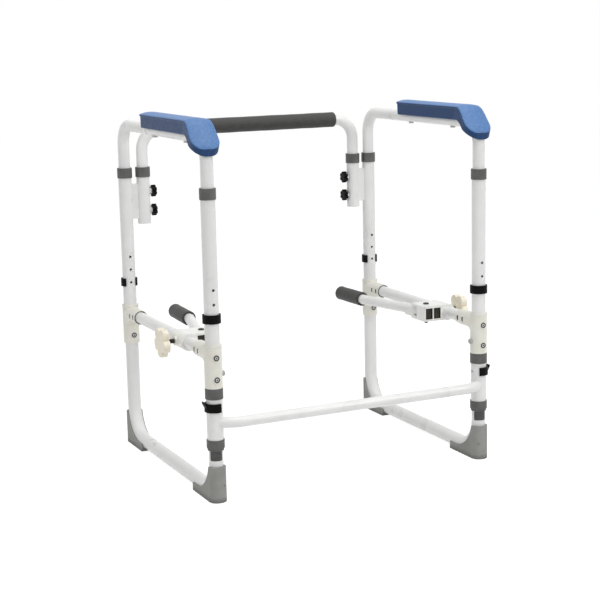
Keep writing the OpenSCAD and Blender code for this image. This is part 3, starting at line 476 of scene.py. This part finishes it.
def groove_cutter():
    """The arm tube's outer form from behind the pad to below its nose, to press the groove."""
    path = [(pad_rear + past_rear, arm_z, 0.0)]
    for i in range(bend_steps + 1):
        a = math.pi / 2 * i / bend_steps
        path.append((bend_r - leg_y - bend_r * math.sin(a),
                     arm_z - bend_r + bend_r * math.cos(a), a))
    path.append((-leg_y, nose_low - past_nose, math.pi / 2))
    mesh = bmesh.new()
    r = arm_tube_r + groove_gap
    turns = [2 * math.pi * k / hoop_points for k in range(hoop_points)]
    hoop = [(r * math.cos(t), r * math.sin(t)) for t in turns]
    hoops = [[mesh.verts.new((x, y - up * math.sin(a), z + up * math.cos(a))) for x, up in hoop]
             for y, z, a in path]
    for here, there in zip(hoops, hoops[1:]):
        for k in range(hoop_points):
            n = (k + 1) % hoop_points
            mesh.faces.new((here[k], here[n], there[n], there[k]))
    mesh.faces.new(hoops[0])
    mesh.faces.new(hoops[-1])
    for face in mesh.faces:
        face.material_index = 1
    return as_piece("groove_cutter", mesh)


cell_size, crease_deep = 0.0016, 0.00022


def pad_skin(name, colour, dark, light, brow_highlight, specular):
    """Self-skinned foam: leather-like cells over a soft, slightly uneven colour, with a painted
    highlight along the edges.
    """
    finish, tree, shader = new_finish(name, colour, roughness=0.46, specular=specular)
    place = add_grain(tree, shader, size=0.0009, height=0.00012, detail=5.0)
    add_mottle(tree, shader, place, size=0.0045, dark=dark, light=light, rough=(0.36, 0.56))
    wear_and_highlight_edges(tree, shader, width=0.0022, colour=brow_highlight, share=0.8)
    cells = tree.nodes.new("ShaderNodeTexVoronoi")
    cells.feature = "DISTANCE_TO_EDGE"
    cells.inputs["Scale"].default_value = 1 / cell_size
    crease = tree.nodes.new("ShaderNodeBump")
    crease.inputs["Distance"].default_value = crease_deep
    below = shader.inputs["Normal"].links[0].from_socket
    tree.links.new(place.outputs["Object"], cells.inputs["Vector"])
    tree.links.new(cells.outputs["Distance"], crease.inputs["Height"])
    tree.links.new(below, crease.inputs["Normal"])
    tree.links.new(crease.outputs["Normal"], shader.inputs["Normal"])
    return finish


# The lighter edge colour of each skin is a painted highlight along its rounded brow and edges.
pad_blue = pad_skin("blue_pad_cap", (0.072, 0.178, 0.405), dark=(0.052, 0.145, 0.345),
                    light=(0.094, 0.214, 0.47), brow_highlight=(0.36, 0.52, 0.78), specular=0.40)
# The navy skin is painted shade: a darker copy of the blue for the side walls under the cap.
pad_shaded_side = pad_skin("shaded_pad_side", (0.020, 0.058, 0.155), dark=(0.016, 0.050, 0.135),
                    light=(0.025, 0.066, 0.175), brow_highlight=(0.034, 0.080, 0.20), specular=0.2)
legs_low, legs_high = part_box("right_front_upright")
shift_y = (legs_low.y + legs_high.y) / 2 + leg_y
cutter = groove_cutter()
made = [pad_ring(y) for y in stations]
_, cap_first, cap_last = made[0]
for side, way in sides.items():
    mesh = bmesh.new()
    rings = [[mesh.verts.new(p) for p in ring] for ring, _, _ in made]
    count = len(rings[0])
    for here, there in zip(rings, rings[1:]):
        for i in range(count):
            n = (i + 1) % count
            face = mesh.faces.new((here[i], here[n], there[n], there[i]))
            face.material_index = 0 if cap_first <= i < cap_last else 1
    for end in (rings[0], rings[-1]):
        mesh.faces.new(end).material_index = 1
    pad = as_piece(side + "_pad", mesh)
    pad.data.materials.append(pad_blue)
    pad.data.materials.append(pad_shaded_side)
    press = pad.modifiers.new("groove", "BOOLEAN")
    press.operation, press.solver, press.object = "DIFFERENCE", "EXACT", cutter
    bpy.context.view_layer.update()
    shown = pad.evaluated_get(bpy.context.evaluated_depsgraph_get())
    pressed = bpy.data.meshes.new_from_object(shown)
    pad.modifiers.clear()
    skin = bmesh.new()
    skin.from_mesh(pressed)
    bmesh.ops.dissolve_degenerate(skin, dist=thinnest_edge, edges=skin.edges)
    skin.to_mesh(pressed)
    skin.free()
    pad.data = pressed
    smooth_over(pad.data)
    pad.location = (way * side_x, shift_y, 0)
    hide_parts(side + "_arm_pad")
    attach(pad, side + "_arm")
bpy.data.objects.remove(cutter)

zinc, tree, shader = new_finish("zinc_plate", (0.40, 0.40, 0.40), roughness=0.36)
shader.inputs["Metallic"].default_value = 1.0
place = add_grain(tree, shader, size=0.0008, height=0.00001)
add_mottle(tree, shader, place, size=0.006, dark=(0.30, 0.30, 0.30),
           light=(0.48, 0.48, 0.47), rough=(0.28, 0.45))
finish_nodes(zinc, *both_sides("pad_screws"))


# Back grip: the long foam sleeve on the cross part of the back bar.
# Charcoal closed-cell foam tube, cut to length and pushed on wet; its cut ends are softly rounded.
foam, tree, shader = new_finish("charcoal_foam", (0.036, 0.036, 0.035),
                                roughness=0.62, specular=0.4)
place = add_grain(tree, shader, size=0.0011, height=0.00022, detail=6.0)
add_mottle(tree, shader, place, size=0.012, dark=(0.027, 0.027, 0.026),
           light=(0.047, 0.047, 0.045), rough=(0.54, 0.72))
shader.inputs["Sheen Weight"].default_value = 0.08
shader.inputs["Sheen Roughness"].default_value = 0.5
foam_sides, foam_rows, foam_sink = 72, 48, 0.0002
bore_gap, bore_lip = 0.0001, 0.0012
swells = ((0.00012, 61.0, 0.0), (0.00010, 137.0, 1.3))  # height, pace and start of each wave


def foam_sleeve(name, tube_r, foam_r, length, end_r):
    """A foam tube from z = 0 to z = length, with rounded ends and a slightly uneven skin."""
    outline = [(foam_r - end_r + end_r * math.sin(a), end_r - end_r * math.cos(a))
               for a in (math.pi / 2 * i / 6 for i in range(7))]
    for i in range(1, foam_rows):
        h = end_r + (length - 2 * end_r) * i / foam_rows
        swell = sum(tall * math.sin(h * pace + start) for tall, pace, start in swells)
        outline.append((foam_r - foam_sink + swell, h))
    outline += [(foam_r - end_r + end_r * math.cos(a), length - end_r + end_r * math.sin(a))
                for a in (math.pi / 2 * i / 6 for i in range(7))]
    outline += [(tube_r + bore_lip, length), (tube_r + bore_gap, length - bore_lip),
                (tube_r + bore_gap, bore_lip), (tube_r + bore_lip, 0)]
    mesh = bmesh.new()
    hoops = [[mesh.verts.new((r * math.cos(a), r * math.sin(a), h)) for r, h in outline]
             for a in (2 * math.pi * k / foam_sides for k in range(foam_sides))]
    for k in range(foam_sides):
        here, there = hoops[k], hoops[(k + 1) % foam_sides]
        for i in range(len(outline)):
            j = (i + 1) % len(outline)
            mesh.faces.new((here[i], there[i], there[j], here[j]))
    return as_piece(name, mesh)


def lay_foam(grip, node, body):
    """Gives a foam sleeve its finish, and its place among the pieces."""
    grip.data.materials.append(foam)
    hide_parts(node)
    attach(grip, body)


grip_end_r = 0.0028
low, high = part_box("back_foam")
grip = foam_sleeve("back_grip", arm_tube_r, (high.z - low.z) / 2, high.x - low.x, grip_end_r)
grip.matrix_world = (Matrix.Translation((low.x, (low.y + high.y) / 2, (low.z + high.z) / 2))
                     @ Matrix.Rotation(math.pi / 2, 4, "Y"))
lay_foam(grip, "back_foam", "back_rest")


# Side clamps: a block slides on each side rail, a knob with a threaded stud locks it, and a bent
# arm swings on the pivot bolt and carries a foam roller. Blocks and knobs are moulded plastic; the
# dark ribbed trays in the blocks' pockets are painted shade, with painted highlights along their
# rib edges.
# Bolts and studs are blackened steel, rollers are foam.
block_white, tree, shader = new_finish("clamp_block_white", (0.90, 0.90, 0.865), roughness=0.36)
place = add_grain(tree, shader, size=0.0010, height=0.000015)
add_mottle(tree, shader, place, size=0.022, dark=(0.875, 0.875, 0.835),
           light=(0.92, 0.92, 0.89), rough=(0.30, 0.44))
let_light_in(shader)
finish_nodes(block_white, *both_sides("clamp_block"))

# Dark ribbed trays in the blocks' pockets are painted shade of the deep pockets; their lighter rib
# edges are painted highlights.
pocket_shade_paint, tree, shader = new_finish("painted_pocket_shade", (0.075, 0.07, 0.058),
                                       roughness=0.55, specular=0.2)
place = add_grain(tree, shader, size=0.0008, height=0.00003)
add_mottle(tree, shader, place, size=0.006, dark=(0.06, 0.056, 0.046),
           light=(0.095, 0.088, 0.074), rough=(0.48, 0.62))
wear_and_highlight_edges(tree, shader, width=0.0004, colour=(0.17, 0.16, 0.135), share=0.7)
block_wall, pocket_w, pocket_h, pocket_deep = 0.0025, 0.01496, 0.0210, 0.0080
rim_w, rim_deep, floor_deep = 0.0005, 0.0003, 0.0066
rib_w, rib_deep, slope, shade_tray_gap = 0.0016, 0.0024, 0.00025, 0.0001
rib_pitch = (pocket_w - 2 * rim_w) / 4


def shade_tray_steps(rib_places, length):
    """Places and depths along one side of a shade tray: rim, sunk floor with its ribs, rim."""
    sunk = [(0.0, rim_deep), (rim_w, rim_deep), (rim_w + slope, floor_deep)]
    for middle in rib_places:
        sunk += [(middle - rib_w / 2 - slope, floor_deep), (middle - rib_w / 2, rib_deep),
                 (middle + rib_w / 2, rib_deep), (middle + rib_w / 2 + slope, floor_deep)]
    return sunk + [(length - rim_w - slope, floor_deep), (length - rim_w, rim_deep),
                   (length, rim_deep)]


def add_shade_tray(mesh, corner):
    """A dark closed tray with upright ribs, painted shade in a pocket, from its lower corner at the
    pocket's mouth.
    """
    across = shade_tray_steps([rim_w + rib_pitch * i for i in (1, 2, 3)], pocket_w - shade_tray_gap)
    upward = shade_tray_steps([], pocket_h - shade_tray_gap)
    front = [[mesh.verts.new(corner + Vector((x, rim_deep if row_deep == rim_deep else deep, z)))
              for x, deep in across] for z, row_deep in upward]
    back = [[mesh.verts.new(corner + Vector((x, pocket_deep - shade_tray_gap, z))) for x, _ in across]
            for z, _ in upward]
    close_plate(mesh, (front, back))


for side, way in sides.items():
    low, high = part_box(side + "_clamp_block")
    mesh = bmesh.new()
    for i in (0, 1):
        start = block_wall + i * (pocket_w + block_wall)
        left = low.x + start if way > 0 else high.x - start - pocket_w
        bottom = (low.z + high.z - pocket_h) / 2
        add_shade_tray(mesh, Vector((left + shade_tray_gap / 2, low.y, bottom + shade_tray_gap / 2)))
    shade_tray = as_piece(side + "_pocket_shade_trays", mesh, sharp=30)
    shade_tray.data.materials.append(pocket_shade_paint)
    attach(shade_tray, side + "_slider")

knob_ivory, tree, shader = new_finish("clamp_knob_ivory", (0.90, 0.835, 0.69), roughness=0.38)
place = add_grain(tree, shader, size=0.0010, height=0.000015)
add_mottle(tree, shader, place, size=0.018, dark=(0.87, 0.80, 0.645),
           light=(0.93, 0.875, 0.74), rough=(0.32, 0.46))
wear_and_highlight_edges(tree, shader, width=0.0010, colour=(0.91, 0.88, 0.80), share=0.6)
let_light_in(shader)
finish_nodes(knob_ivory, *both_sides("clamp_knob"))

dark_bolt, tree, shader = new_finish("blackened_bolt", (0.05, 0.05, 0.05),
                                     roughness=0.45, specular=0.2)
place = add_grain(tree, shader, size=0.0008, height=0.00002)
add_mottle(tree, shader, place, size=0.004, dark=(0.035, 0.035, 0.035),
           light=(0.075, 0.075, 0.072), rough=(0.38, 0.55))
wear_and_highlight_edges(tree, shader, width=0.0006, colour=(0.16, 0.16, 0.155), share=0.7)
finish_nodes(dark_bolt, *both_sides("clamp_pivot"))

black_thread, tree, shader = new_finish("black_thread", (0.035, 0.035, 0.036), roughness=0.42)
shader.inputs["Metallic"].default_value = 0.6
thread_pitch, thread_deep = 0.00125, 0.0006
wave_len = math.pi / 10  # how far a wave texture of scale 1 runs before it repeats
place = tree.nodes.new("ShaderNodeTexCoord")
ridges = tree.nodes.new("ShaderNodeTexWave")
ridges.bands_direction = "X"
ridges.inputs["Scale"].default_value = wave_len / thread_pitch
flanks = tree.nodes.new("ShaderNodeBump")
flanks.inputs["Distance"].default_value = thread_deep
tree.links.new(place.outputs["Object"], ridges.inputs["Vector"])
tree.links.new(ridges.outputs["Fac"], flanks.inputs["Height"])
tree.links.new(flanks.outputs["Normal"], shader.inputs["Normal"])
finish_nodes(black_thread, *both_sides("clamp_stud"))

swing_tube_r, roller_len, roller_end_r = 0.00955, 0.088, 0.0022
swing_turn, bend_turn = math.radians(14.5), math.radians(11.5)
roller_turn = swing_turn - bend_turn
for side, way in sides.items():
    low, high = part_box(side + "_clamp_roller")
    along = Vector((-way * math.sin(roller_turn), math.cos(roller_turn), 0))
    roller = foam_sleeve(side + "_roller_grip", swing_tube_r, (high.z - low.z) / 2, roller_len,
                         roller_end_r)
    roller.matrix_world = (Matrix.Translation((low + high) / 2 - along * roller_len / 2)
                           @ along.to_track_quat("Z", "X").to_matrix().to_4x4())
    lay_foam(roller, side + "_clamp_roller", side + "_swing")


# Studio: a plain pale floor under the frame, an even pale surround and large soft lamps.
# Nothing here belongs to the frame. Floor and surround look white to the camera and in
# reflections, and light the frame only softly.
def seen_or_mirrored(tree):
    """1 for a ray from the camera or off a shiny or clear surface, 0 for a ray of plain light."""
    rays = tree.nodes.new("ShaderNodeLightPath")
    shiny = worked(tree, "MAXIMUM", rays.outputs["Is Glossy Ray"],
                   rays.outputs["Is Transmission Ray"])
    return worked(tree, "MAXIMUM", rays.outputs["Is Camera Ray"], shiny)


floor_half, floor_drop, floor_glow, glow_share = 8, 0.0002, 1.31, 0.7
floor_data = bpy.data.meshes.new("floor")
corners = [(x * floor_half, y * floor_half, 0) for x, y in ((-1, -1), (1, -1), (1, 1), (-1, 1))]
floor_data.from_pydata(corners, [], [(0, 1, 2, 3)])
floor = bpy.data.objects.new("floor", floor_data)
bpy.context.scene.collection.objects.link(floor)
floor_paint, tree, shader = new_finish("pale_floor", (0.90, 0.90, 0.90),
                                       roughness=0.9, specular=0.0)
glow = tree.nodes.new("ShaderNodeEmission")
glow.inputs["Strength"].default_value = floor_glow
blend = tree.nodes.new("ShaderNodeMixShader")
tree.links.new(worked(tree, "MULTIPLY", seen_or_mirrored(tree), glow_share), blend.inputs["Fac"])
tree.links.new(shader.outputs["BSDF"], blend.inputs[1])
tree.links.new(glow.outputs["Emission"], blend.inputs[2])
tree.links.new(blend.outputs["Shader"], tree.nodes["Material Output"].inputs["Surface"])
floor.data.materials.append(floor_paint)
floor.location.z = -floor_drop

world = bpy.data.worlds.new("surround")
bpy.context.scene.world = world
world.use_nodes = True
tree = world.node_tree
surround_light, surround_seen = 0.33, 1.0
light_side = tree.nodes["Background"]
light_side.inputs["Color"].default_value = (1, 1, 1, 1)
light_side.inputs["Strength"].default_value = surround_light
seen_side = tree.nodes.new("ShaderNodeBackground")
seen_side.inputs["Color"].default_value = (1, 1, 1, 1)
seen_side.inputs["Strength"].default_value = surround_seen
blend = tree.nodes.new("ShaderNodeMixShader")
tree.links.new(seen_or_mirrored(tree), blend.inputs["Fac"])
tree.links.new(light_side.outputs["Background"], blend.inputs[1])
tree.links.new(seen_side.outputs["Background"], blend.inputs[2])
tree.links.new(blend.outputs["Shader"], tree.nodes["World Output"].inputs["Surface"])


def soft_lamp(name, spot, aim, size, power):
    """A square lamp at a spot, turned to what it lights."""
    lamp = bpy.data.lights.new(name, "AREA")
    lamp.shape = "SQUARE"
    lamp.size = size
    lamp.energy = power
    stand = bpy.data.objects.new(name, lamp)
    bpy.context.scene.collection.objects.link(stand)
    stand.location = spot
    stand.rotation_euler = (Vector(aim) - Vector(spot)).to_track_quat("-Z", "Y").to_euler()


middle = (0, 0, 0.3)
soft_lamp("right_lamp", (1.5, -2.5, 2.2), middle, size=1.4, power=33)
soft_lamp("left_lamp", (-2.7, -0.8, 1.9), middle, size=1.2, power=15)
soft_lamp("top_lamp", (0.2, -0.3, 2.8), middle, size=2.0, power=38)


# Camera: a long lens a little higher than the pads, in front of the frame and to its left.
# It looks down by about 11 degrees and is rolled by a little more than one.
eye = Vector((-1.16994, -2.49100 + shift_y, 0.81127))
yaw, pitch, roll = math.radians(25.185), math.radians(10.667), math.radians(-1.243)
ahead = Vector((math.sin(yaw) * math.cos(pitch), math.cos(yaw) * math.cos(pitch),
                -math.sin(pitch)))
right = Vector((math.cos(yaw), -math.sin(yaw), 0))
upright = right.cross(ahead)
across = math.cos(roll) * right + math.sin(roll) * upright
upward = -math.sin(roll) * right + math.cos(roll) * upright
lens = bpy.data.cameras.new("camera")
sensor_mm, focal_px, picture_px = 36, 1474.06, 600
lens.sensor_width = sensor_mm
lens.lens = sensor_mm * focal_px / picture_px
camera = bpy.data.objects.new("camera", lens)
bpy.context.scene.collection.objects.link(camera)
facing = Matrix((across, upward, -ahead)).transposed().to_4x4()
camera.matrix_world = Matrix.Translation(eye) @ facing
bpy.context.scene.camera = camera
